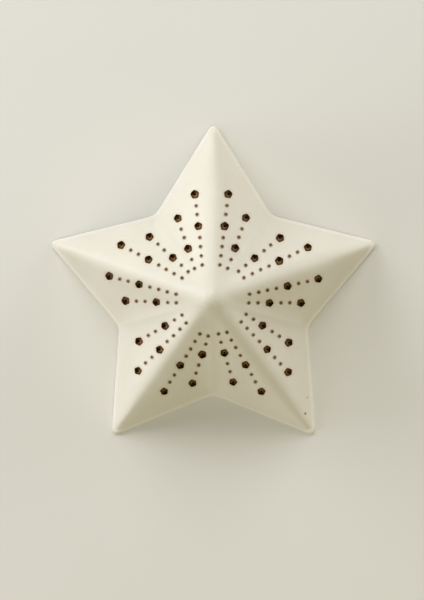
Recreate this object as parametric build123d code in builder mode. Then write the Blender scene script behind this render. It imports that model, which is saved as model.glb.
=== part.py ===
from build123d import *
from math import atan2, cos, degrees, radians, sin
import os

# Star tealight holder: a pierced ceramic star that stands on its rim over a tealight.
# Millimetres. Z is up, the table is z = 0, the origin is under the apex, and one tip points to +Y.

# ---- star cover ---------------------------------------------------------------------
ARMS = 5
FIRST_TIP = 90.0            # azimuth of the first tip
SECTOR = 360.0 / ARMS
TIP_CORNER_R = 97.3         # centre to the sharp meeting point of an arm's two edges
INNER_CORNER_R = 55.5       # centre to the sharp corner between two arms
TIP_ROUND = 2.6
INNER_ROUND = 7.0
COVER_HEIGHT = 75.0
FOOT_HEIGHT = 2.5           # upright edge from the table to the lip
LIP_WIDTH = 1.3             # flat ledge between the edge and the facets
LIP_ROUND = 1.0
FOOT_WALL = 4.0             # thickness of the rim where it meets the table
CAVITY_HEIGHT = 68.5
LIP_TIP_ROUND = 2.1         # tip rounding where the facets start
MOUTH_TIP_ROUND = 1.6       # and of the hollow at the table
APEX_SCALE = 0.03           # size of the small star that closes the facets at the apex
APEX_TIP_ROUND = 0.6
APEX_INNER_ROUND = 0.6

# ---- punched holes ------------------------------------------------------------------
# They are laid out in plan on each half of an arm: u runs out along the ridge, v away from it.
ROUND_HOLE_R = 1.05
STAR_HOLE_R = 2.6
STAR_HOLE_WAIST = 0.78      # inner corner radius over tip radius
ROUND_STEP = 4.96           # to the next round hole
STAR_STEP = 6.37            # between a round hole and a star
LONG_ROW = "rrrrsrrs"       # r is a round hole, s a star, from the inside out
LONG_START = (20.05, 4.72)
LONG_SLOPE = 6.65           # degrees between the row and the ridge
SHORT_ROW = "rrsrrs"
SHORT_START = (18.2, 9.09)
SHORT_SLOPE = 19.75
PATTERN_MIDDLE = 39.0       # distance along the ridge to the middle of a group of holes
# Punched by hand: each arm's group sits a little turned about the apex and about its own middle,
# and a little further in.
ARM_TURN = (1.2, 0.6, 0.0, 0.8, -2.0)
ARM_TWIST = (-1.0, -0.5, -0.5, -3.0, -0.5)
ARM_SHIFT = (-2.1, -0.25, -0.3, -0.4, -0.8)

# ---- tealight -----------------------------------------------------------------------
CUP_RIM_R = 19.0
CUP_HEIGHT = 15.0
CUP_WALL = 0.4
CUP_CORNER = 0.8
BEAD_R = 0.6                # rolled rim
PIECE_GAP = 0.03            # room between pieces that touch
WAX_TOP = 12.4
TAB_R = 6.5
TAB_THICKNESS = 0.5
COLLAR_R = 1.7
COLLAR_HEIGHT = 3.5
WICK_R = 0.9
WICK_TOP = 19.5

CUP_OUTER_R = CUP_RIM_R - BEAD_R + CUP_WALL / 2
CUP_INNER_R = CUP_OUTER_R - CUP_WALL


def polar(radius, azimuth):
    """Point at this radius and azimuth in plan."""
    return Vector(radius * cos(radians(azimuth)), radius * sin(radians(azimuth)))


def star_corners(tip_r, inner_r, first_tip):
    """Corners of a star in order, each tip followed by the inner corner after it."""
    corners = []
    for arm in range(ARMS):
        azimuth = first_tip - arm * SECTOR
        corners.append(polar(tip_r, azimuth))
        corners.append(polar(inner_r, azimuth - SECTOR / 2))
    return corners


def edge_distance():
    """Distance from the centre to the straight line of an outer edge."""
    inner = polar(INNER_CORNER_R, SECTOR / 2)
    tip = polar(TIP_CORNER_R, 0)
    return inner.cross(tip).length / (tip - inner).length


def star_plan(height, inset, tip_round, inner_round):
    """Horizontal rounded star at this height, its edges this far inside the outline."""
    scale = 1 - inset / edge_distance()
    with BuildSketch(Plane.XY.offset(height)) as plan:
        with BuildLine():
            Polyline(star_corners(TIP_CORNER_R * scale, INNER_CORNER_R * scale, FIRST_TIP), close=True)
        make_face()
        fillet(plan.vertices().sort_by_distance((0, 0, 0))[:ARMS], inner_round)
        fillet(plan.vertices().sort_by_distance((0, 0, 0))[-ARMS:], tip_round)
    return plan.sketch


def apex_plan(height):
    """The small star where the ten facets end."""
    inset = (1 - APEX_SCALE) * edge_distance()
    return star_plan(height, inset, APEX_TIP_ROUND, APEX_INNER_ROUND)


def row_of_holes(row, start, slope):
    """Kinds and places of the holes in one row, in the arm's own u and v."""
    along = Vector(cos(radians(slope)), sin(radians(slope)))
    place = Vector(*start)
    holes = [(row[0], place)]
    for previous, kind in zip(row, row[1:]):
        step = ROUND_STEP if previous == kind == "r" else STAR_STEP
        place = place + along * step
        holes.append((kind, place))
    return holes


def punched_holes():
    """Kind, place and outward azimuth of every hole in the cover."""
    half_arm = row_of_holes(LONG_ROW, LONG_START, LONG_SLOPE)
    half_arm += row_of_holes(SHORT_ROW, SHORT_START, SHORT_SLOPE)
    holes = []
    for arm in range(ARMS):
        turn = FIRST_TIP - arm * SECTOR + ARM_TURN[arm]
        middle = Vector(PATTERN_MIDDLE + ARM_SHIFT[arm], 0)
        for side in (1, -1):
            for kind, place in half_arm:
                offset = Vector(place.X - PATTERN_MIDDLE, side * place.Y)
                in_arm = middle + offset.rotate(Axis.Z, ARM_TWIST[arm])
                in_plan = in_arm.rotate(Axis.Z, turn)
                holes.append((kind, in_plan, turn + degrees(atan2(in_arm.Y, in_arm.X))))
    return holes


# ---- star cover ---------------------------------------------------------------------
with BuildPart() as star_cover:
    extrude(star_plan(0, 0, TIP_ROUND, INNER_ROUND), amount=FOOT_HEIGHT)
    fillet(star_cover.faces().sort_by(Axis.Z)[-1].edges(), LIP_ROUND)
    facets_start = star_plan(FOOT_HEIGHT, LIP_WIDTH, LIP_TIP_ROUND, INNER_ROUND)
    loft([facets_start, apex_plan(COVER_HEIGHT)], ruled=True)
    cavity_mouth = star_plan(0, FOOT_WALL, MOUTH_TIP_ROUND, INNER_ROUND)
    loft([cavity_mouth, apex_plan(CAVITY_HEIGHT)], ruled=True, mode=Mode.SUBTRACT)
    all_holes = punched_holes()
    with BuildSketch():
        with Locations(*[place for kind, place, azimuth in all_holes if kind == "r"]):
            Circle(ROUND_HOLE_R)
        for kind, place, azimuth in all_holes:
            if kind == "s":
                with BuildLine():
                    Polyline(
                        [
                            place + corner
                            for corner in star_corners(STAR_HOLE_R, STAR_HOLE_R * STAR_HOLE_WAIST, azimuth)
                        ],
                        close=True,
                    )
                make_face()
    extrude(amount=COVER_HEIGHT, mode=Mode.SUBTRACT)
star_cover.part.label = "star_cover"


# ---- tealight cup -------------------------------------------------------------------
with BuildPart() as tealight_cup:
    bead_height = CUP_HEIGHT - BEAD_R
    with BuildSketch(Plane.XZ):
        with Locations((CUP_OUTER_R / 2, bead_height / 2)):
            Rectangle(CUP_OUTER_R, bead_height)
    revolve(axis=Axis.Z)
    fillet(tealight_cup.faces().sort_by(Axis.Z)[0].edges(), CUP_CORNER)
    with BuildSketch(Plane.XZ):
        with Locations((CUP_OUTER_R - CUP_WALL / 2, bead_height)):
            Circle(BEAD_R)
    revolve(axis=Axis.Z)
    with BuildSketch(Plane.XY.offset(CUP_WALL)):
        Circle(CUP_INNER_R)
    extrude(amount=CUP_HEIGHT, mode=Mode.SUBTRACT)
tealight_cup.part.label = "tealight_cup"


# ---- wick sustainer -----------------------------------------------------------------
tab_floor = CUP_WALL + PIECE_GAP
tab_top = tab_floor + TAB_THICKNESS
with BuildPart() as wick_tab:
    with BuildSketch(Plane.XY.offset(tab_floor)):
        Circle(TAB_R)
    extrude(amount=TAB_THICKNESS)
    with BuildSketch(Plane.XY.offset(tab_top)):
        Circle(COLLAR_R)
    extrude(amount=COLLAR_HEIGHT)
    with BuildSketch(Plane.XY.offset(tab_top)):
        Circle(WICK_R + PIECE_GAP)
    extrude(amount=COLLAR_HEIGHT, mode=Mode.SUBTRACT)
wick_tab.part.label = "wick_tab"


# ---- wick ---------------------------------------------------------------------------
with BuildPart() as wick:
    with BuildSketch(Plane.XY.offset(tab_top + PIECE_GAP)):
        Circle(WICK_R)
    extrude(amount=WICK_TOP - tab_top - PIECE_GAP)
wick.part.label = "wick"


# ---- wax ----------------------------------------------------------------------------
with BuildPart() as tealight_wax:
    with BuildSketch(Plane.XY.offset(tab_floor)):
        Circle(CUP_INNER_R - PIECE_GAP)
    extrude(amount=WAX_TOP - tab_floor)
    with BuildSketch(Plane.XY.offset(tab_floor)):
        Circle(TAB_R + PIECE_GAP)
    extrude(amount=TAB_THICKNESS + PIECE_GAP, mode=Mode.SUBTRACT)
    with BuildSketch(Plane.XY.offset(tab_floor)):
        Circle(COLLAR_R + PIECE_GAP)
    extrude(amount=TAB_THICKNESS + COLLAR_HEIGHT + PIECE_GAP, mode=Mode.SUBTRACT)
    with BuildSketch(Plane.XY.offset(tab_floor)):
        Circle(WICK_R + PIECE_GAP)
    extrude(amount=WAX_TOP, mode=Mode.SUBTRACT)
tealight_wax.part.label = "tealight_wax"


# ---- files --------------------------------------------------------------------------
os.makedirs("parts", exist_ok=True)
for piece in (star_cover, tealight_cup, wick_tab, wick, tealight_wax):
    export_step(piece.part, f"parts/{piece.part.label}.step")
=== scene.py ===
import math
import random

import bpy
import numpy as np
from mathutils import Matrix, Vector, noise
from mathutils.geometry import delaunay_2d_cdt


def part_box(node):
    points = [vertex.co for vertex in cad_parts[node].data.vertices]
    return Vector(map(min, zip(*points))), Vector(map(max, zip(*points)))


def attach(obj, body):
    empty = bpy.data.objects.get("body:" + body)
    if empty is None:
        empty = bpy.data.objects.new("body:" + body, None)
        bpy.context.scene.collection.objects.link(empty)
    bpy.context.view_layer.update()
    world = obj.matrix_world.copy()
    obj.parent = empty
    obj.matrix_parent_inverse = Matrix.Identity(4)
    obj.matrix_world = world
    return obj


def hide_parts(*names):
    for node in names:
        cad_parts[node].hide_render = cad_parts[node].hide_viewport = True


# Star tealight holder: a pierced, slip-cast star over a tealight.
# The shapes are worked out in millimetres and every mesh is made in metres.

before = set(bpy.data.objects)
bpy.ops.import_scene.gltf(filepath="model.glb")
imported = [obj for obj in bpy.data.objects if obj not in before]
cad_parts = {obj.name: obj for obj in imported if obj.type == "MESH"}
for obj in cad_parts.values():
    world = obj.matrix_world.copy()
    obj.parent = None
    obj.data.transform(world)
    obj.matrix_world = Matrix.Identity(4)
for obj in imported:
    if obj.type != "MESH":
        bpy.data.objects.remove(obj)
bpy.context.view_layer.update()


MM = 0.001
SEED = 11


def node_box_mm(node):
    """Lowest and highest corners of a CAD node, in millimetres."""
    low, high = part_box(node)
    return Vector(low) / MM, Vector(high) / MM


# ---- sizes, in millimetres ----------------------------------------------------------
_, cover_high = node_box_mm("star_cover")
_, cup_high = node_box_mm("tealight_cup")
wax_low, wax_high = node_box_mm("tealight_wax")
_, tab_high = node_box_mm("wick_tab")
wick_low, wick_high = node_box_mm("wick")

# Outline, lip and wall.
ARMS = 5
SECTOR = 360.0 / ARMS
FIRST_TIP = 90.0            # azimuth of the arm on +Y; the others follow clockwise
TIP_CORNER_R = 97.3         # the outline's corners, before they are rounded
INNER_CORNER_R = 55.5
COVER_HEIGHT = cover_high.z
LIP_HEIGHT = 1.9
LIP_WIDTH = 1.5
LIP_ROUND = 1.1
LIP_BLEND = 0.7             # rounding between the facets and the lip
FOOT_WALL = 4.0             # width of the foot
FOOT_ROUND = 0.45
WALL_HEIGHT = 6.3           # vertical thickness of the sloping wall
TABLE_TOP = -0.05           # a hair under the rim

# Ridges, valleys and facets. A zone is a pair of radii between which one value gives way
# to the next.
RIDGE_HALF = 6.8            # half-width of a ridge's rounding along the arms
CREST_HALF = 7.0            # and towards the apex
CREST_ZONE = (5.0, 30.0)
TIP_HALF = 2.9              # and at the tips, where it rounds the outline
TIP_ZONE = (66.0, 92.0)
CORNER_SOFTNESS = 1.0       # rounding of the valleys at the outline's inner corners
VALLEY_SOFTNESS = 3.2       # and in the middle of the facets, where they are broad
BROAD_START_ZONE = (4.0, 26.0)
BROAD_END_ZONE = (38.0, 56.0)
FACET_SAG = 1.2             # how far the middle of a facet sinks under flat
SAG_SPAN = 18.0             # a facet narrower than this sinks less
SAG_ZONE = (6.0, 26.0)

# Apex.
APEX_SHIFT = (-1.2, 0.0)    # how far the hand-made apex is off the middle
APEX_SOFTNESS = 6.4         # radius over which the apex is smoothed
APEX_ZONE = (3.0, 20.0)     # where the smoothing ends
DISC_RINGS = ((0.45, 10), (0.9, 20))    # shares of that radius, and points on each ring
APEX_DROP = 0.6             # how far the rounded apex stays under the CAD's

# Rows of punched holes: r is round and s is star-shaped, from the apex outwards. Each arm
# has a long and a short row on both sides of its ridge.
ROUND_STEP = 4.96           # from one round hole to the next
STAR_STEP = 6.37            # from or to a star hole
LONG_ROW = "rrrrsrrs"
LONG_START = (20.05, 4.72)  # outwards along the arm, and aside
LONG_SLOPE = 6.65           # degrees
SHORT_ROW = "rrsrrs"
SHORT_START = (18.2, 9.09)
SHORT_SLOPE = 19.75
PATTERN_MIDDLE = 39.0       # radius about which an arm's pattern is twisted
ARM_TURN = (1.2, 0.6, 0.0, 0.8, -2.0)           # degrees about the apex
ARM_TWIST = (-1.0, -0.5, -0.5, -3.0, -0.5)      # degrees about the pattern's middle
ARM_SHIFT = (-2.1, -0.25, -0.3, -0.4, -0.8)     # outwards
PUNCH_DRIFT = 0.07          # hand-made unevenness of place, size, turn in degrees and roundness
PUNCH_SPREAD = 0.025
PUNCH_TURN = 2.5
PUNCH_WOBBLE = 0.03

# Shape of the holes. Glaze narrows each one below its rim to a round core.
ROUND_HOLE_R = 1.15
ROUND_CORE_R = 0.36
STAR_HOLE_R = 2.6
STAR_HOLE_WAIST = 0.8       # inner corners, as a share of the radius
STAR_WEAR = 0.13            # radians over which the star's corners are worn
STAR_CORE_R = 2.05
STAR_TAPER = 1.5            # how much narrower its core is at the inside of the wall
OUTER_CLEARANCE = 0.5       # from a hole to the outer surface's mesh
INNER_CLEARANCE = 0.3
# Down each hole: distance outside its opening, how far it has narrowed to its core, and depth.
STAR_THROAT = (
    (0.27, 0.0, 0.03), (0.1, 0.05, 0.12), (0.0, 0.3, 0.3),
    (0.0, 0.7, 0.5), (0.0, 0.9, 0.8), (0.0, 1.0, 1.3),
)
ROUND_THROAT = (
    (0.27, 0.0, 0.03), (0.1, 0.04, 0.12), (0.0, 0.15, 0.3),
    (0.0, 0.4, 0.6), (0.0, 0.75, 1.1), (0.0, 1.0, 1.9),
)
# And up from the hollow's surface: share of the taper, distance outside, and height over it.
CORE_END = ((0.5, 0.0, 3.2), (1.0, 0.0, 0.9), (1.0, 0.0, 0.4), (1.0, 0.1, 0.1))

# Marks in the glaze.
SPECKS = ((51.4, -65.7, 0.42, 1.0), (52.6, -56.8, 0.42, 0.4))   # x, y, radius and strength
STREAK_ARMS = (0.03, 0.03, 0.22, 0.03, 0.10)    # how thin the glaze ran on each arm's ridge
STREAK_START = 25.0         # radius at which the streaks begin
STREAK_GROWTH = 45.0        # and the length over which they reach full strength
STREAK_REACH = 9.0          # farthest from the ridge
HOLE_BAND = 0.35            # width of the thin glaze round each hole
SKIN = 0.2                  # a point less deep than this is on the outer surface

# Depths under the outer surface between which the look down a hole changes.
THROAT_SHADE_ZONE = (0.08, 0.4)    # from white glaze to painted shade in brown, in a round hole
ROUND_CLAY_ZONE = (2.2, 3.6)    # from glaze to clay, in a round hole
STAR_CLAY_ZONE = (0.1, 0.4)     # and in a star hole
LIT_CLAY_ZONE = (2.5, 5.7)  # from the painted shade at a hole's mouth to the hollow's lighter clay

# Mesh.
GRID_STEP = 1.15            # spacing on the outer facets
INNER_STEP = GRID_STEP * 1.6
RIM_POINTS = 720
ROUND_HOLE_POINTS = 20
STAR_HOLE_POINTS = 40
RIM_START = 1.0             # how far inside the lip the outer sheet ends
RIM_END = 0.8               # and the inner sheet, inside the foot
HOLE_SEARCH = 2.0           # how far round a hole points are tested against its outline
OUTLINE_STEPS = 7200        # for measuring along the outline
BISECTIONS = 40
RIDGE_ROWS = (0.0, 0.75, 1.5, 2.3, 3.2)     # mesh rows beside each ridge
VALLEY_ROWS = (0.0, 1.0, 2.0, 3.1)          # and beside each valley
ROWS_HALF_WIDTH = 3.6       # the strip that is left to them
APEX_RINGS = 8              # mesh rings round the apex
APEX_RING_STEP = 0.8
APEX_RINGS_R = 7.0          # the disc that is left to them
SPECK_RINGS = 5             # mesh rings round each speck


# ---- the star as a height field -----------------------------------------------------
def smoothstep(low, high, value):
    t = np.clip((value - low) / (high - low), 0.0, 1.0)
    return t * t * (3.0 - 2.0 * t)


def edge_line():
    """Distance from the centre to an outer edge's line, and the azimuth of its normal."""
    half = math.radians(SECTOR / 2)
    inner = np.array([INNER_CORNER_R * math.cos(half), INNER_CORNER_R * math.sin(half)])
    along = np.array([TIP_CORNER_R, 0.0]) - inner
    along /= np.linalg.norm(along)
    normal = np.array([-along[1], along[0]])
    return float(normal @ inner), math.atan2(normal[1], normal[0])


EDGE, EDGE_NORMAL = edge_line()
FACET_EDGE = EDGE - LIP_WIDTH


def sharp_coordinate(x, y):
    """0 under the apex, EDGE on the outline, rising evenly down each facet.

    Ridges and valleys are soft.
    """
    radius = np.hypot(x, y)
    half_width = RIDGE_HALF + (TIP_HALF - RIDGE_HALF) * smoothstep(*TIP_ZONE, radius)
    half_width = half_width + (CREST_HALF - RIDGE_HALF) * (1.0 - smoothstep(*CREST_ZONE, radius))
    broad = smoothstep(*BROAD_START_ZONE, radius) * (1.0 - smoothstep(*BROAD_END_ZONE, radius))
    softness = CORNER_SOFTNESS + (VALLEY_SOFTNESS - CORNER_SOFTNESS) * broad
    total = np.zeros_like(radius)
    for arm in range(ARMS):
        azimuth = math.radians(FIRST_TIP - arm * SECTOR)
        u = x * math.cos(azimuth) + y * math.sin(azimuth)
        v = np.abs(y * math.cos(azimuth) - x * math.sin(azimuth))
        soft_v = np.where(v > half_width, v, (v * v + half_width**2) / (2 * half_width))
        facet = u * math.cos(EDGE_NORMAL) + soft_v * math.sin(EDGE_NORMAL)
        behind = u * math.sin(EDGE_NORMAL) < v * math.cos(EDGE_NORMAL)
        facet = np.where(behind, 2 * radius - facet, facet)
        total += np.exp(-facet / softness)
    return -softness * np.log(total)


def about_apex(x, y, fade):
    """Plan coordinates measured from the shifted apex, where fade is 1, or from the origin at 0."""
    return x - APEX_SHIFT[0] * fade, y - APEX_SHIFT[1] * fade


def edge_coordinate(x, y):
    """The same, with the hand-made apex a little off centre and smoothed over a small disc."""
    x = np.atleast_1d(x)
    y = np.atleast_1d(y)
    x, y = about_apex(x, y, 1.0 - np.clip(sharp_coordinate(x, y) / EDGE, 0.0, 1.0))
    value = sharp_coordinate(x, y)
    near = np.hypot(x, y) < APEX_ZONE[1]
    if near.any():
        x = x[near]
        y = y[near]
        reach = APEX_SOFTNESS * (1.0 - smoothstep(*APEX_ZONE, np.hypot(x, y)))
        total = value[near]
        for share, points in DISC_RINGS:
            shift = reach * share
            for i in range(points):
                angle = 2 * math.pi * (i + 0.5) / points
                total += sharp_coordinate(x + shift * math.cos(angle), y + shift * math.sin(angle))
        value[near] = total / (1 + sum(points for _, points in DISC_RINGS))
    return value


CENTRE_COORDINATE = float(edge_coordinate(*APEX_SHIFT)[0])
SLOPE = (COVER_HEIGHT - APEX_DROP - LIP_HEIGHT) / (FACET_EDGE - CENTRE_COORDINATE)


def facet_middle(x, y):
    """1 two thirds of the way across a facet, 0 on its ridge and on its valley or outer edge."""
    x, y = about_apex(x, y, 1.0 - np.clip(np.hypot(x, y) / TIP_CORNER_R, 0.0, 1.0))
    radius = np.hypot(x, y)
    half = math.radians(SECTOR / 2)
    from_ridge = np.abs((np.arctan2(y, x) - math.radians(FIRST_TIP) + half) % (2 * half) - half)
    u = radius * np.cos(from_ridge)
    v = radius * np.sin(from_ridge)
    to_edge = (FACET_EDGE - u * math.cos(EDGE_NORMAL)) / math.sin(EDGE_NORMAL)
    least = 0.01
    width = np.minimum(u * math.tan(half), np.maximum(to_edge, least))
    share = np.clip(v / np.maximum(width, least), 0.0, 1.0)
    dip = 27 / 4 * share**2 * (1.0 - share)
    return dip * np.clip(width / SAG_SPAN, 0.0, 1.0) * smoothstep(*SAG_ZONE, radius)


def outer_height(x, y):
    """Height of the outer surface, from the apex to the lip."""
    rise = SLOPE * (FACET_EDGE - edge_coordinate(x, y)) - FACET_SAG * facet_middle(x, y)
    return LIP_HEIGHT + 0.5 * (rise + np.sqrt(rise * rise + LIP_BLEND * LIP_BLEND))


def inner_height(x, y):
    """Height of the hollow's surface."""
    return outer_height(x, y) - WALL_HEIGHT


def radius_at(coordinate, azimuths):
    """Radius at which the edge coordinate has this value, for each azimuth in radians."""
    low = np.zeros_like(azimuths)
    high = np.full_like(azimuths, TIP_CORNER_R * 1.1)
    for _ in range(BISECTIONS):
        middle = (low + high) / 2
        inside = edge_coordinate(middle * np.cos(azimuths), middle * np.sin(azimuths)) < coordinate
        low = np.where(inside, middle, low)
        high = np.where(inside, high, middle)
    return (low + high) / 2


def rim_azimuths():
    """Azimuths spaced evenly along the outline."""
    fine = np.linspace(0.0, 2 * math.pi, OUTLINE_STEPS + 1)
    radius = radius_at(EDGE, fine)
    x = radius * np.cos(fine)
    y = radius * np.sin(fine)
    length = np.concatenate([[0.0], np.cumsum(np.hypot(np.diff(x), np.diff(y)))])
    return np.interp(np.arange(RIM_POINTS) * length[-1] / RIM_POINTS, length, fine)


# ---- punched holes ------------------------------------------------------------------
def row_of_holes(row, start, slope):
    """Kind and place of each hole of a row, with X along the arm."""
    along = Vector((math.cos(math.radians(slope)), math.sin(math.radians(slope))))
    place = Vector(start)
    holes = [(row[0], place)]
    for previous, kind in zip(row, row[1:]):
        place = place + along * (ROUND_STEP if previous == kind == "r" else STAR_STEP)
        holes.append((kind, place))
    return holes


def punched_holes():
    """Kind, place and outward azimuth in degrees of every hole."""
    half_arm = row_of_holes(LONG_ROW, LONG_START, LONG_SLOPE)
    half_arm += row_of_holes(SHORT_ROW, SHORT_START, SHORT_SLOPE)
    holes = []
    for arm in range(ARMS):
        turn = FIRST_TIP - arm * SECTOR + ARM_TURN[arm]
        for side in (1, -1):
            for kind, place in half_arm:
                offset = Vector((place.x - PATTERN_MIDDLE, side * place.y))
                offset.rotate(Matrix.Rotation(math.radians(ARM_TWIST[arm]), 2))
                in_arm = Vector((PATTERN_MIDDLE + ARM_SHIFT[arm], 0.0)) + offset
                in_plan = in_arm.copy()
                in_plan.rotate(Matrix.Rotation(math.radians(turn), 2))
                outward = turn + math.degrees(math.atan2(in_arm.y, in_arm.x))
                holes.append((kind, in_plan, outward))
    return holes


def star_radius(azimuths):
    """Outline of a small star with one point at azimuth 0, its corners worn soft."""
    half = math.pi / ARMS
    shifts = np.linspace(-STAR_WEAR, STAR_WEAR, 9)
    total = np.zeros_like(azimuths)
    tip = np.array([STAR_HOLE_R, 0.0])
    waist = STAR_HOLE_R * STAR_HOLE_WAIST * np.array([math.cos(half), math.sin(half)])
    side = waist - tip
    for shift in shifts:
        folded = np.abs((azimuths + shift + half) % (2 * half) - half)
        direction = np.stack([np.cos(folded), np.sin(folded)])
        cross_side = direction[0] * side[1] - direction[1] * side[0]
        total += (tip[0] * side[1] - tip[1] * side[0]) / cross_side
    return total / len(shifts)


class Hole:
    """One punched hole: its centre, its opening and the round core that it narrows to."""

    def __init__(self, kind, place, outward, rng):
        self.star = kind == "s"
        self.count = STAR_HOLE_POINTS if self.star else ROUND_HOLE_POINTS
        drift = [rng.gauss(0, PUNCH_DRIFT), rng.gauss(0, PUNCH_DRIFT)]
        self.centre = np.array([place.x, place.y]) + np.array(drift)
        size = rng.gauss(1.0, PUNCH_SPREAD)
        turn = math.radians(outward + rng.gauss(0, PUNCH_TURN))
        self.azimuths = np.arange(self.count) * 2 * math.pi / self.count + turn
        if self.star:
            self.radii = star_radius(self.azimuths - turn) * size
            self.core = STAR_CORE_R * size
            self.reach = STAR_HOLE_R
        else:
            wobble = PUNCH_WOBBLE * np.sin(2 * (self.azimuths + rng.uniform(0, 6.28)))
            self.radii = np.full(self.count, ROUND_HOLE_R * size) * (1 + wobble)
            self.core = ROUND_CORE_R * size
            self.reach = ROUND_HOLE_R

    def ring(self, outside, narrowed=0.0):
        """Its rim this far outside the opening, or narrowed towards the round core below it."""
        radii = self.radii * (1 - narrowed) + self.core * narrowed + outside
        x = self.centre[0] + radii * np.cos(self.azimuths)
        y = self.centre[1] + radii * np.sin(self.azimuths)
        return np.stack([x, y], axis=1)

    def contains(self, point, outside):
        """Whether the point is in the opening or less than this far outside it."""
        offset = point - self.centre
        angle = math.atan2(offset[1], offset[0])
        steps = (angle - self.azimuths[0]) / (2 * math.pi / self.count) % self.count
        before = int(steps) % self.count
        share = steps - int(steps)
        radius = self.radii[before] * (1 - share) + self.radii[(before + 1) % self.count] * share
        return math.hypot(*offset) < radius + outside


# ---- mesh helpers -------------------------------------------------------------------
class MeshMaker:
    """Collects vertices in millimetres and faces, and makes a Blender object of them."""

    def __init__(self):
        self.points = []
        self.faces = []

    def add(self, points):
        """Adds points and returns their numbers."""
        start = len(self.points)
        self.points.extend([tuple(float(value) for value in point) for point in points])
        return list(range(start, len(self.points)))

    def bridge(self, ring_a, ring_b, flip=False):
        """Quads between two closed rings of the same length."""
        count = len(ring_a)
        for i in range(count):
            j = (i + 1) % count
            face = (ring_a[i], ring_a[j], ring_b[j], ring_b[i])
            self.faces.append(face[::-1] if flip else face)

    def strip(self, row_a, row_b):
        """Quads between two open rows of the same length."""
        for i in range(len(row_a) - 1):
            self.faces.append((row_a[i], row_a[i + 1], row_b[i + 1], row_b[i]))

    def fan(self, ring, centre, flip=False):
        """Triangles from a closed ring to its middle."""
        for i in range(len(ring)):
            face = (ring[i], ring[(i + 1) % len(ring)], centre)
            self.faces.append(face[::-1] if flip else face)

    def build(self, name, material):
        mesh = bpy.data.meshes.new(name)
        mesh.from_pydata([Vector(point) * MM for point in self.points], [], self.faces)
        mesh.validate()
        mesh.update()
        mesh.shade_smooth()
        piece = bpy.data.objects.new(name, mesh)
        bpy.context.scene.collection.objects.link(piece)
        mesh.materials.append(material)
        return piece


# ---- material helpers ---------------------------------------------------------------
class Nodes:
    """Short names for making a procedural material."""

    def __init__(self, name):
        self.material = bpy.data.materials.new(name)
        self.material.use_nodes = True
        self.tree = self.material.node_tree
        self.shader = self.tree.nodes["Principled BSDF"]
        self.position = self.tree.nodes.new("ShaderNodeTexCoord").outputs["Object"]

    def set(self, **values):
        """Sets sockets of the shader to plain values."""
        for key, value in values.items():
            self.shader.inputs[key.replace("_", " ")].default_value = value

    def link(self, output, socket):
        self.tree.links.new(output, self.shader.inputs[socket])

    def noise(self, scale, detail=3.0, roughness=0.5, stretch=None):
        node = self.tree.nodes.new("ShaderNodeTexNoise")
        node.inputs["Scale"].default_value = scale
        node.inputs["Detail"].default_value = detail
        node.inputs["Roughness"].default_value = roughness
        source = self.position
        if stretch is not None:
            mapping = self.tree.nodes.new("ShaderNodeMapping")
            mapping.inputs["Scale"].default_value = stretch
            self.tree.links.new(self.position, mapping.inputs["Vector"])
            source = mapping.outputs["Vector"]
        self.tree.links.new(source, node.inputs["Vector"])
        return node.outputs["Fac"]

    def ramp(self, value, stops):
        node = self.tree.nodes.new("ShaderNodeValToRGB")
        elements = node.color_ramp.elements
        while len(elements) < len(stops):
            elements.new(0.5)
        for element, (place, color) in zip(elements, stops):
            element.position = place
            element.color = (*color, 1.0)
        self.tree.links.new(value, node.inputs["Fac"])
        return node.outputs["Color"]

    def range(self, value, low, high, out_low, out_high):
        """Maps low to high evenly onto out_low to out_high, and keeps it between them."""
        node = self.tree.nodes.new("ShaderNodeMapRange")
        node.inputs["From Min"].default_value = low
        node.inputs["From Max"].default_value = high
        node.inputs["To Min"].default_value = out_low
        node.inputs["To Max"].default_value = out_high
        self.tree.links.new(value, node.inputs["Value"])
        return node.outputs["Result"]

    def mix(self, factor, first, second):
        node = self.tree.nodes.new("ShaderNodeMix")
        node.data_type = "RGBA"
        self.plug(factor, node.inputs[0])
        self.plug(first, node.inputs[6])
        self.plug(second, node.inputs[7])
        return node.outputs[2]

    def math(self, operation, first, second):
        node = self.tree.nodes.new("ShaderNodeMath")
        node.operation = operation
        self.plug(first, node.inputs[0])
        self.plug(second, node.inputs[1])
        return node.outputs[0]

    def plug(self, value, socket):
        if isinstance(value, bpy.types.NodeSocket):
            self.tree.links.new(value, socket)
        elif isinstance(value, tuple):
            socket.default_value = (*value, 1.0)
        else:
            socket.default_value = value

    def attribute(self, name):
        node = self.tree.nodes.new("ShaderNodeAttribute")
        node.attribute_name = name
        return node.outputs["Fac"]

    def bump(self, layers):
        """Bumps stacked on each other: each is a height output and its depth in metres."""
        normal = None
        for height, depth in layers:
            node = self.tree.nodes.new("ShaderNodeBump")
            node.inputs["Strength"].default_value = 1.0
            node.inputs["Distance"].default_value = depth
            self.tree.links.new(height, node.inputs["Height"])
            if normal is not None:
                self.tree.links.new(normal, node.inputs["Normal"])
            normal = node.outputs["Normal"]
        self.link(normal, "Normal")


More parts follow.
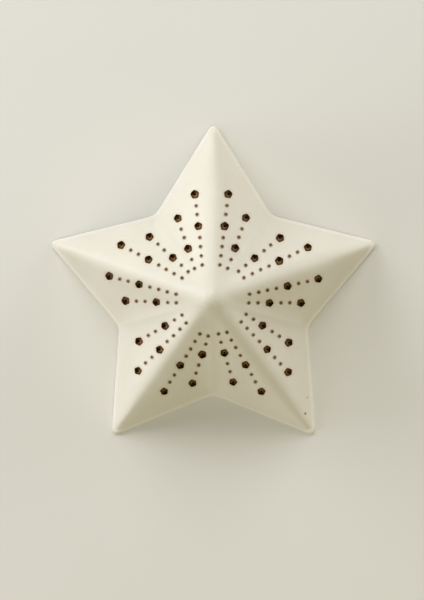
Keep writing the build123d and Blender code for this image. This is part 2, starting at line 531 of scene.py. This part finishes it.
# ---- materials ----------------------------------------------------------------------
def glazed_clay():
    """White glaze, thin on edges and ridges, with a painted highlight on the lip and painted shade
    in brown down the round holes.
    """
    nodes = Nodes("satin_glaze_on_white_clay")
    nodes.set(Specular_IOR_Level=0.32, Coat_Weight=0.06, Coat_Roughness=0.3, IOR=1.5)
    cloud = nodes.noise(38.0, 4.0, 0.55)
    fine = nodes.noise(420.0, 5.0, 0.6)
    glaze = nodes.ramp(cloud, [(0.3, (0.751, 0.709, 0.570)), (0.7, (0.787, 0.747, 0.610))])
    thin = nodes.range(nodes.attribute("glaze_thin"), 0.0, 1.0, 0.0, 0.55)
    glaze = nodes.mix(thin, glaze, (0.70, 0.575, 0.40))
    bare = nodes.ramp(fine, [(0.35, (0.66, 0.60, 0.49)), (0.65, (0.74, 0.68, 0.57))])
    glaze = nodes.mix(nodes.attribute("bare_clay"), glaze, bare)
    pinholes = nodes.noise(900.0, 1.0, 0.3)
    spot = nodes.range(pinholes, 0.79, 0.83, 0.0, 0.55)
    glaze = nodes.mix(spot, glaze, (0.42, 0.35, 0.25))
    glaze = nodes.mix(nodes.attribute("speck"), glaze, (0.115, 0.07, 0.03))
    # painted highlight: the lip is painted lighter than the facets, for the light line it catches
    # along the outline
    lip_light = nodes.range(nodes.attribute("lip_highlight"), 0.0, 1.0, 0.0, 0.45)
    glaze = nodes.mix(lip_light, glaze, (0.90, 0.865, 0.76))
    # painted shade: the glaze down each round hole is painted brown, for the shade inside it
    glaze = nodes.mix(nodes.attribute("throat"), glaze, (0.37, 0.275, 0.165))
    nodes.link(glaze, "Base Color")
    satin = nodes.range(cloud, 0.3, 0.7, 0.48, 0.58)
    dry = nodes.range(nodes.attribute("bare_clay"), 0.0, 1.0, 0.0, 0.85)
    nodes.link(nodes.math("MAXIMUM", satin, dry), "Roughness")
    peel = nodes.noise(260.0, 2.0, 0.4)
    nodes.bump([(cloud, 0.00035), (peel, 0.00006), (fine, 0.00002)])
    return nodes.material


def bare_clay_inside():
    """Unglazed clay of the hollow and of the holes' walls, painted almost black as painted shade
    where they open outside.
    """
    nodes = Nodes("unglazed_brown_clay_inside")
    nodes.set(Specular_IOR_Level=0.08)
    cloud = nodes.noise(60.0, 4.0, 0.55)
    grit = nodes.noise(500.0, 4.0, 0.65)
    # painted shade: the holes' walls near their mouths are painted almost black
    painted_hole_shade = nodes.ramp(grit, [(0.3, (0.058, 0.028, 0.006)), (0.7, (0.072, 0.036, 0.008))])
    clay = nodes.ramp(cloud, [(0.3, (0.62, 0.36, 0.13)), (0.7, (0.70, 0.42, 0.16))])
    clay = nodes.mix(nodes.range(grit, 0.35, 0.65, 0.25, 0.0), clay, (0.40, 0.22, 0.09))
    nodes.link(nodes.mix(nodes.attribute("deep"), painted_hole_shade, clay), "Base Color")
    nodes.link(nodes.range(grit, 0.3, 0.7, 0.82, 0.95), "Roughness")
    nodes.bump([(grit, 0.00006)])
    return nodes.material


def drawn_foil():
    nodes = Nodes("drawn_aluminium_foil")
    nodes.set(Metallic=1.0)
    streaks = nodes.noise(300.0, 4.0, 0.6, stretch=(1.0, 1.0, 0.08))
    cloud = nodes.noise(120.0, 3.0)
    color = nodes.ramp(cloud, [(0.3, (0.72, 0.72, 0.735)), (0.7, (0.82, 0.82, 0.83))])
    nodes.link(color, "Base Color")
    nodes.link(nodes.range(streaks, 0.3, 0.7, 0.22, 0.4), "Roughness")
    nodes.bump([(streaks, 0.00004), (cloud, 0.00008)])
    return nodes.material


def paraffin():
    nodes = Nodes("paraffin_wax")
    nodes.set(Subsurface_Weight=0.75, Subsurface_Scale=0.004, Subsurface_Radius=(1.0, 0.8, 0.6))
    nodes.set(IOR=1.44)
    cloud = nodes.noise(160.0, 4.0, 0.55)
    frost = nodes.noise(900.0, 3.0, 0.6)
    color = nodes.ramp(cloud, [(0.3, (0.84, 0.82, 0.75)), (0.7, (0.90, 0.885, 0.83))])
    nodes.link(color, "Base Color")
    nodes.link(nodes.range(frost, 0.3, 0.7, 0.38, 0.55), "Roughness")
    nodes.bump([(cloud, 0.0003), (frost, 0.00003)])
    return nodes.material


def braided_cotton():
    nodes = Nodes("waxed_cotton_braid")
    nodes.set(Sheen_Weight=0.25)
    fibre = nodes.noise(2500.0, 4.0, 0.65, stretch=(1.0, 1.0, 0.25))
    cloud = nodes.noise(600.0, 2.0)
    color = nodes.ramp(cloud, [(0.3, (0.74, 0.70, 0.60)), (0.7, (0.86, 0.83, 0.75))])
    color = nodes.mix(nodes.range(fibre, 0.3, 0.7, 0.35, 0.0), color, (0.55, 0.50, 0.40))
    nodes.link(color, "Base Color")
    nodes.link(nodes.range(fibre, 0.3, 0.7, 0.65, 0.85), "Roughness")
    nodes.bump([(fibre, 0.00012)])
    return nodes.material


def tinplate():
    nodes = Nodes("stamped_tinplate")
    nodes.set(Metallic=1.0)
    scratch = nodes.noise(700.0, 4.0, 0.6, stretch=(1.0, 0.15, 1.0))
    cloud = nodes.noise(250.0, 3.0)
    color = nodes.ramp(cloud, [(0.3, (0.50, 0.50, 0.51)), (0.7, (0.66, 0.66, 0.67))])
    nodes.link(color, "Base Color")
    nodes.link(nodes.range(scratch, 0.3, 0.7, 0.3, 0.5), "Roughness")
    nodes.bump([(scratch, 0.00002)])
    return nodes.material


def painted_board():
    nodes = Nodes("pale_table_top")
    cloud = nodes.noise(6.0, 3.0)
    grain = nodes.noise(900.0, 3.0, 0.6)
    color = nodes.ramp(cloud, [(0.3, (0.749, 0.732, 0.662)), (0.7, (0.765, 0.747, 0.677))])
    nodes.link(color, "Base Color")
    nodes.link(nodes.range(grain, 0.3, 0.7, 0.7, 0.8), "Roughness")
    nodes.bump([(grain, 0.00002)])
    return nodes.material


# ---- star cover ---------------------------------------------------------------------
def row_points(step):
    """Plan points in rows along every ridge and valley."""
    points = []
    for arm in range(ARMS):
        for azimuth, reach, offsets in (
            (FIRST_TIP - arm * SECTOR, TIP_CORNER_R, RIDGE_ROWS),
            (FIRST_TIP - (arm + 0.5) * SECTOR, INNER_CORNER_R, VALLEY_ROWS),
        ):
            angle = math.radians(azimuth)
            along = np.array([math.cos(angle), math.sin(angle)])
            across = np.array([-along[1], along[0]])
            for u in np.arange(APEX_RINGS_R, reach, step):
                for v in offsets:
                    for side in (1, -1) if v else (1,):
                        if math.atan2(v, u) < math.radians(SECTOR / 4):
                            points.append(along * u + across * v * side)
    return points


def apex_points():
    """Plan points in rings round the origin."""
    points = []
    for ring in range(1, APEX_RINGS + 1):
        count = ARMS * 2 * (ring + 1)
        for i in range(count):
            angle = math.radians(FIRST_TIP) + 2 * math.pi * i / count
            points.append(np.array([math.cos(angle), math.sin(angle)]) * APEX_RING_STEP * ring)
    points.append(np.zeros(2))
    return points


def speck_points():
    """Plan points in rings round every speck, so that it is painted sharply."""
    points = []
    for x, y, radius, _ in SPECKS:
        for ring in range(1, SPECK_RINGS + 1):
            reach = radius * 0.45 * ring
            for i in range(6 * ring):
                angle = 2 * math.pi * i / (6 * ring)
                points.append(np.array([x + reach * math.cos(angle), y + reach * math.sin(angle)]))
    return points


def grid_points(step):
    """Plan points of an even grid of triangles, away from the apex, ridges and valleys."""
    rows = np.arange(-TIP_CORNER_R, TIP_CORNER_R, step * math.sqrt(3) / 2)
    grid = []
    for number, y in enumerate(rows):
        x = np.arange(-TIP_CORNER_R, TIP_CORNER_R, step) + (step / 2 if number % 2 else 0.0)
        grid.append(np.stack([x, np.full_like(x, y)], axis=1))
    grid = np.concatenate(grid)
    near_line = np.hypot(grid[:, 0], grid[:, 1]) < APEX_RINGS_R
    for spoke in range(ARMS * 2):
        angle = math.radians(FIRST_TIP - spoke * SECTOR / 2)
        u = grid[:, 0] * math.cos(angle) + grid[:, 1] * math.sin(angle)
        v = np.abs(grid[:, 1] * math.cos(angle) - grid[:, 0] * math.sin(angle))
        near_line |= (u > 0) & (v < ROWS_HALF_WIDTH)
    return grid[~near_line]


def facet_points(limit, step, holes, clearance, specks):
    """All plan points of a surface that lie inside its limit and outside its holes."""
    lines = row_points(step) + apex_points() + (speck_points() if specks else [])
    every = np.concatenate([np.array(lines), grid_points(step)])
    rim_gap = 0.55 * step
    hole_gap = 0.45 * step
    every = every[edge_coordinate(every[:, 0], every[:, 1]) < limit - rim_gap]
    keep = np.ones(len(every), bool)
    for hole in holes:
        close = np.hypot(*(every - hole.centre).T) < hole.reach + clearance + HOLE_SEARCH
        for index in np.nonzero(close)[0]:
            if hole.contains(every[index], clearance + hole_gap):
                keep[index] = False
    return every[keep]


def pierced_sheet(maker, rim, limit, holes, clearance, height, step, inside):
    """One surface of the wall, from its rim to the holes; returns the rim's and holes' vertices."""
    loops = [rim] + [hole.ring(clearance) for hole in holes]
    plan = np.concatenate(loops + [facet_points(limit, step, holes, clearance, not inside)])
    edges = []
    owner = np.full(len(plan), -1)
    start = 0
    for number, loop in enumerate(loops):
        count = len(loop)
        edges += [(start + i, start + (i + 1) % count) for i in range(count)]
        owner[start:start + count] = number
        start += count
    result = delaunay_2d_cdt([Vector(point) for point in plan], edges, [], 0, 1e-6)
    faces, originals = result[2:4]
    source = [group[0] if group else -1 for group in originals]
    heights = height(plan[:, 0], plan[:, 1])
    numbers = maker.add(np.column_stack([plan, heights]))
    for face in faces:
        corners = [source[i] for i in face]
        owners = {int(owner[i]) for i in corners}
        if len(owners) == 1 and -1 not in owners:
            middle = plan[corners].mean(axis=0)
            loop = owners.pop()
            if loop > 0 and holes[loop - 1].contains(middle, clearance):
                continue
            if loop == 0 and float(edge_coordinate(*middle)[0]) > limit:
                continue
        corners = [numbers[i] for i in corners]
        maker.faces.append(tuple(corners[::-1] if inside else corners))
    rings = []
    start = len(loops[0])
    for loop in loops[1:]:
        rings.append(numbers[start:start + len(loop)])
        start += len(loop)
    return numbers[:len(loops[0])], rings


def rim_profile():
    """Edge coordinate and height, from the facets' foot over the lip and under it to the hollow.

    A height of None is the outer surface's own.
    """
    profile = [(FACET_EDGE + offset, None) for offset in (-0.6, -0.3, 0.0, 0.15)]
    for angle in (90, 70, 50, 30, 12, 0):
        out = EDGE - LIP_ROUND + LIP_ROUND * math.cos(math.radians(angle))
        up = LIP_HEIGHT - LIP_ROUND + LIP_ROUND * math.sin(math.radians(angle))
        profile.append((out, up))
    profile.append((EDGE, 0.62))
    for angle in (0, 30, 60, 90):
        out = EDGE - FOOT_ROUND + FOOT_ROUND * math.cos(math.radians(angle))
        up = FOOT_ROUND - FOOT_ROUND * math.sin(math.radians(angle))
        profile.append((out, up))
    inner = EDGE - FOOT_WALL
    profile += [(EDGE - 1.6, 0.0), (inner + 1.4, 0.0), (inner + 0.6, 0.0)]
    profile += [(inner + 0.15, 0.12), (inner - 0.3, 0.5)]
    return profile


def make_star_cover(glaze, clay):
    rng = random.Random(SEED)
    holes = [Hole(kind, place, outward, rng) for kind, place, outward in punched_holes()]
    azimuths = rim_azimuths()
    maker = MeshMaker()

    def rim_ring(coordinate):
        radius = radius_at(coordinate, azimuths)
        return np.stack([radius * np.cos(azimuths), radius * np.sin(azimuths)], axis=1)

    limit = FACET_EDGE - RIM_START
    outer_rim, top_rings = pierced_sheet(
        maker, rim_ring(limit), limit, holes, OUTER_CLEARANCE, outer_height, GRID_STEP, inside=False
    )
    limit = EDGE - FOOT_WALL - RIM_END
    inner_rim, bottom_rings = pierced_sheet(
        maker, rim_ring(limit), limit, holes, INNER_CLEARANCE, inner_height, INNER_STEP, inside=True
    )
    previous = outer_rim
    for coordinate, height in rim_profile():
        plan = rim_ring(coordinate)
        if height is None:
            heights = outer_height(plan[:, 0], plan[:, 1])
        else:
            heights = np.full(len(plan), height)
        ring = maker.add(np.column_stack([plan, heights]))
        maker.bridge(ring, previous)
        previous = ring
    maker.bridge(inner_rim, previous)

    for hole, top, bottom in zip(holes, top_rings, bottom_rings):
        previous = top
        throat = STAR_THROAT if hole.star else ROUND_THROAT
        taper = STAR_TAPER if hole.star else 0.0
        levels = [(outside, narrowed, outer_height, -depth) for outside, narrowed, depth in throat]
        for share, outside, over in CORE_END:
            levels.append((outside - share * taper, 1.0, inner_height, over))
        for outside, narrowed, height, offset in levels:
            plan = hole.ring(outside, narrowed)
            ring = maker.add(np.column_stack([plan, height(plan[:, 0], plan[:, 1]) + offset]))
            maker.bridge(previous, ring)
            previous = ring
        maker.bridge(previous, bottom)

    piece = maker.build("pierced_star_cover", glaze)
    piece.data.materials.append(clay)
    paint_cover(piece, holes)
    return piece


def ridge_streaks(x, y):
    """Where the glaze ran thin along each ridge: broad, broken and strongest on two arms."""
    thin = np.zeros_like(x)
    for arm, strength in enumerate(STREAK_ARMS):
        angle = math.radians(FIRST_TIP - arm * SECTOR)
        u = x * math.cos(angle) + y * math.sin(angle)
        v = y * math.cos(angle) - x * math.sin(angle)
        near = np.nonzero((u > STREAK_START) & (np.abs(v) < STREAK_REACH))[0]
        for i in near:
            place = Vector((u[i] / 11.0, arm * 9.0, 0.0))
            drift = 1.6 * noise.noise(place)
            width = 2.0 + 1.6 * noise.noise(place * 1.7 + Vector((3.0, 0.0, 0.0)))
            broken = 0.55 + 0.9 * noise.noise(Vector((u[i] / 6.0, arm * 5.0, v[i] / 5.0)))
            outward = min(1.0, (u[i] - STREAK_START) / STREAK_GROWTH)
            across = math.exp(-(((v[i] - drift) / width) ** 2))
            thin[i] = max(thin[i], strength * outward * max(0.0, broken) * across)
    return thin


def paint_cover(piece, holes):
    """Attributes for the materials, and the faces that are of unglazed clay.

    They say where the glaze is thin, where the lip is painted lighter as a painted highlight, where
    the clay is bare, where painted shade in brown goes down the round holes, how deep in a hole a
    point is, which sets the painted shade at the holes' mouths, and where the iron specks on one
    arm are.
    """
    mesh = piece.data
    count = len(mesh.vertices)
    co = np.empty(count * 3)
    mesh.vertices.foreach_get("co", co)
    co = co.reshape(-1, 3) / MM
    x, y, z = co.T
    surface = outer_height(x, y)
    depth = surface - z
    outside = z > surface - SKIN
    thin = np.where(outside, ridge_streaks(x, y), 0.0)
    hollow = np.zeros(count)
    throat = np.zeros(count)
    for hole in holes:
        distance = np.hypot(x - hole.centre[0], y - hole.centre[1])
        beside = distance < hole.reach + HOLE_BAND
        thin = np.where(beside & outside, 0.9, thin)
        if hole.star:
            hollow = np.where(beside, smoothstep(*STAR_CLAY_ZONE, depth), hollow)
        else:
            # painted shade: brown painted down each round hole's glaze
            throat = np.where(beside, smoothstep(*THROAT_SHADE_ZONE, depth), throat)
            hollow = np.where(beside, smoothstep(*ROUND_CLAY_ZONE, depth), hollow)
    bare = np.where(z < SKIN, 1.0, 0.0)
    coordinate = edge_coordinate(x, y)
    # painted highlight: a band along the lip, painted lighter
    lip_light = np.where(z > 0.5, smoothstep(FACET_EDGE - 0.5, FACET_EDGE + 0.3, coordinate), 0.0)
    within = coordinate < EDGE - FOOT_WALL + 0.1
    hollow = np.where((depth > WALL_HEIGHT - 0.3) & within, 1.0, hollow)
    speck = np.zeros(count)
    for speck_x, speck_y, radius, strength in SPECKS:
        distance = np.hypot(x - speck_x, y - speck_y)
        dark = np.clip(1.4 - distance / radius * 0.7, 0.0, 1.0)
        speck = np.maximum(speck, strength * dark * outside)
    painted = {
        "glaze_thin": thin,
        "lip_highlight": lip_light,
        "bare_clay": bare,
        "throat": throat,
        # painted shade at each hole's mouth, fading out with depth
        "deep": smoothstep(*LIT_CLAY_ZONE, depth),
        "speck": speck,
    }
    for name, values in painted.items():
        attribute = mesh.attributes.new(name, "FLOAT", "POINT")
        attribute.data.foreach_set("value", values.astype(np.float32))
    inner = [int(hollow[list(face.vertices)].mean() > 0.5) for face in mesh.polygons]
    mesh.polygons.foreach_set("material_index", inner)


# ---- turned pieces ------------------------------------------------------------------
def turned(maker, profile, segments, shape, flip=False):
    """Turns a profile of radius and height about Z; shape changes both by azimuth."""
    rings = []
    for radius, height in profile:
        ring = []
        for i in range(segments):
            azimuth = 2 * math.pi * i / segments
            r, z = shape(radius, height, azimuth)
            ring.append((r * math.cos(azimuth), r * math.sin(azimuth), z))
        rings.append(maker.add(ring))
    for first, second in zip(rings, rings[1:]):
        maker.bridge(first, second, flip)
    return rings


def arc(centre_r, centre_z, radius, start, end, steps):
    """Points of an arc in the radius and height plane, angles in degrees."""
    points = []
    for i in range(steps + 1):
        angle = math.radians(start + (end - start) * i / steps)
        points.append((centre_r + radius * math.cos(angle), centre_z + radius * math.sin(angle)))
    return points


def make_cup(material):
    """Foil cup: a pressed floor with one ring, a pleated wall and a rolled bead."""
    rim_r = cup_high.x
    height = cup_high.z
    bead = 0.6
    wall_r = rim_r - bead + 0.2
    skin = 0.32
    inner_r = wall_r - skin
    corner = 0.9
    floor_z = 0.4
    under_z = floor_z - 0.03
    pleats = 48
    pleat_depth = 0.1
    profile = [(3.0, 0.35), (3.6, 0.3), (4.1, 0.05), (4.8, 0.0)]
    profile += [(12.0, 0.0), (12.6, 0.22), (13.4, 0.22), (14.0, 0.0), (16.6, 0.0)]
    profile += arc(wall_r - corner, corner, corner, -90, 0, 6)
    profile += [(wall_r, z) for z in (2.0, 4.0, 6.0, 8.0, 10.0, 11.5, 12.6, 13.3)]
    profile += arc(rim_r - bead, height - bead, bead, -25, 190, 12)
    profile += [(inner_r, height - 1.6), (inner_r, 12.0), (inner_r, 6.0), (inner_r, 1.4)]
    profile += arc(inner_r - corner, floor_z + corner, corner, 0, -90, 5)
    profile += [(12.0, floor_z), (3.0, floor_z)]
    rng = random.Random(SEED + 1)
    strengths = [rng.uniform(0.4, 1.0) for _ in range(pleats)]

    def pleated(radius, z, azimuth):
        if radius < wall_r - 0.15 or z > height - 1.3:
            return radius, z
        place = azimuth / (2 * math.pi) * pleats
        strength = strengths[int(place) % pleats] * min(1.0, max(0.0, (z - floor_z) / 2.5))
        return radius + pleat_depth * strength * (math.sin(math.pi * (place % 1.0)) ** 2 - 1.0), z

    maker = MeshMaker()
    rings = turned(maker, profile, 384, pleated)
    under = maker.add([(0.0, 0.0, under_z)])[0]
    maker.fan(rings[0], under, flip=True)
    floor = maker.add([(0.0, 0.0, floor_z)])[0]
    maker.fan(rings[-1], floor)
    return maker.build("foil_cup", material)


def make_wax(material):
    """Wax with a sunken, slightly uneven top, a hole for the wick and room for its tab."""
    inner_r = wax_high.x
    top = wax_high.z
    bottom = wax_low.z
    gap = 0.05
    tab_r = tab_high.x + gap
    collar_top = tab_high.z + gap
    collar_r = 1.8
    hole_r = 0.95
    surface = [(hole_r, 0.9), (hole_r + 0.05, 0.05), (1.6, 0.32), (2.6, 0.55), (4.5, 0.62)]
    surface += [(8.0, 0.5), (12.0, 0.42), (15.5, 0.4), (17.0, 0.3), (17.8, 0.1)]
    surface += [(inner_r - 0.03, 0.0), (inner_r, 0.15)]
    profile = [(radius, top - sunk) for radius, sunk in surface]
    profile += [(inner_r, 6.0), (inner_r, bottom + 1.0), (inner_r - 0.35, bottom + 0.25)]
    profile += [(inner_r - 1.0, bottom), (tab_r, bottom), (tab_r, bottom + 0.6)]
    profile += [(collar_r, bottom + 0.6), (collar_r, collar_top), (hole_r, collar_top)]

    def slumped(radius, z, azimuth):
        if z < top - 0.8 or radius > inner_r - 0.1 or radius < 1.2:
            return radius, z
        place = Vector((radius * math.cos(azimuth), radius * math.sin(azimuth), 0.0)) / 5.0
        return radius, z + 0.09 * noise.noise(place)

    maker = MeshMaker()
    rings = turned(maker, profile, 128, slumped, flip=True)
    maker.bridge(rings[-1], rings[0], flip=True)
    return maker.build("wax_filling", material)


def make_wick(material):
    """Three plaited strands, cut square at the top and leaning a little."""
    maker = MeshMaker()
    low = wick_low.z
    high = wick_high.z
    strands = 3
    strand_r = 0.43
    coil_r = 0.42
    pitch = 4.2
    steps = 72
    sides = 12
    for strand in range(strands):
        rings = []
        for step in range(steps + 1):
            share = step / steps
            z = low + (high - low) * share
            turn = 2 * math.pi * (z / pitch + strand / strands)
            lean = 0.12 * max(0.0, share - 0.55)
            centre = Vector((coil_r * math.cos(turn) + lean, coil_r * math.sin(turn), z))
            ring = []
            for i in range(sides):
                angle = 2 * math.pi * i / sides
                across = Vector((math.cos(angle), math.sin(angle), 0.0))
                fray = 1.0 + 0.06 * noise.noise(across + Vector((strand * 7.0, 0.0, z * 2.0)))
                ring.append(centre + across * strand_r * fray)
            rings.append(maker.add(ring))
        for first, second in zip(rings, rings[1:]):
            maker.bridge(first, second)
        for ring, flip in ((rings[0], True), (rings[-1], False)):
            middle = sum((Vector(maker.points[i]) for i in ring), Vector()) / sides
            maker.fan(ring, maker.add([middle])[0], flip)
    return maker.build("plaited_wick", material)


# ---- the object ---------------------------------------------------------------------
cover = make_star_cover(glazed_clay(), bare_clay_inside())
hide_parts("star_cover")
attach(cover, "cover")

cup = make_cup(drawn_foil())
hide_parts("tealight_cup")
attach(cup, "tealight")

wax = make_wax(paraffin())
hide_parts("tealight_wax")
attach(wax, "tealight")

wick = make_wick(braided_cotton())
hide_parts("wick")
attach(wick, "tealight")

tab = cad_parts["wick_tab"]
tab.data.materials.clear()
tab.data.materials.append(tinplate())


# ---- table, light and camera --------------------------------------------------------
# Lamps: azimuth and elevation in degrees, power in watts, and colour.
LAMPS = {
    "top_window": (90.0, 36.0, 10.6, (0.975, 0.99, 1.0)),
    "corner_window": (150.0, 22.0, 13.7, (0.90, 0.915, 1.0)),
    "left_window": (210.0, 22.0, 6.2, (0.94, 0.92, 1.0)),
    "warm_fill": (297.0, 52.0, 8.2, (1.0, 0.95, 0.69)),
    "low_card": (30.0, 15.7, 7.0, (0.88, 0.855, 1.0)),
}
LAMP_SIZE = 0.75            # metres
LAMP_DISTANCE = 1.5
ROOM_COLOR = (1.0, 0.97, 0.90, 1.0)
ROOM_STRENGTH = 0.02


def make_table():
    maker = MeshMaker()
    half = 3.0 / MM
    steps = 8
    ticks = [-half + 2 * half * i / steps for i in range(steps + 1)]
    rows = [maker.add([(x, y, TABLE_TOP) for x in ticks]) for y in ticks]
    for first, second in zip(rows, rows[1:]):
        maker.strip(first, second)
    table = maker.build("table_top", painted_board())


def area_light(name, azimuth, elevation, power, color):
    light = bpy.data.lights.new(name, "AREA")
    light.shape = "DISK"
    light.size = LAMP_SIZE
    light.energy = power
    light.color = color
    lamp = bpy.data.objects.new(name, light)
    azimuth = math.radians(azimuth)
    elevation = math.radians(elevation)
    level = math.cos(elevation)
    place = Vector((level * math.cos(azimuth), level * math.sin(azimuth), math.sin(elevation)))
    place *= LAMP_DISTANCE
    lamp.location = place
    lamp.rotation_euler = (-place).to_track_quat("-Z", "Y").to_euler()
    bpy.context.scene.collection.objects.link(lamp)


def make_light():
    for name, lamp in LAMPS.items():
        area_light(name, *lamp)
    world = bpy.data.worlds.new("studio")
    world.use_nodes = True
    background = world.node_tree.nodes["Background"]
    background.inputs["Color"].default_value = ROOM_COLOR
    background.inputs["Strength"].default_value = ROOM_STRENGTH
    bpy.context.scene.world = world
    bpy.context.scene.view_settings.view_transform = "Standard"


def make_camera():
    """Looks straight down but for a slight lean from the +X and +Y side."""
    view_height = 0.3362
    sensor = 36.0
    target = Vector((-0.0008, -0.0024, 0.0))
    place = target + Vector((0.0186, 0.0456, 2.0))
    camera = bpy.data.objects.new("camera", bpy.data.cameras.new("camera"))
    camera.data.sensor_width = sensor
    camera.data.lens = sensor * (place - target).length / view_height
    back = (place - target).normalized()
    right = Vector((0.0, 1.0, 0.0)).cross(back).normalized()
    up = back.cross(right)
    turn = Matrix((right, up, back)).transposed().to_4x4()
    camera.matrix_world = Matrix.Translation(place) @ turn
    bpy.context.scene.collection.objects.link(camera)
    bpy.context.scene.camera = camera


make_table()
make_light()
make_camera()

bpy.context.view_layer.update()
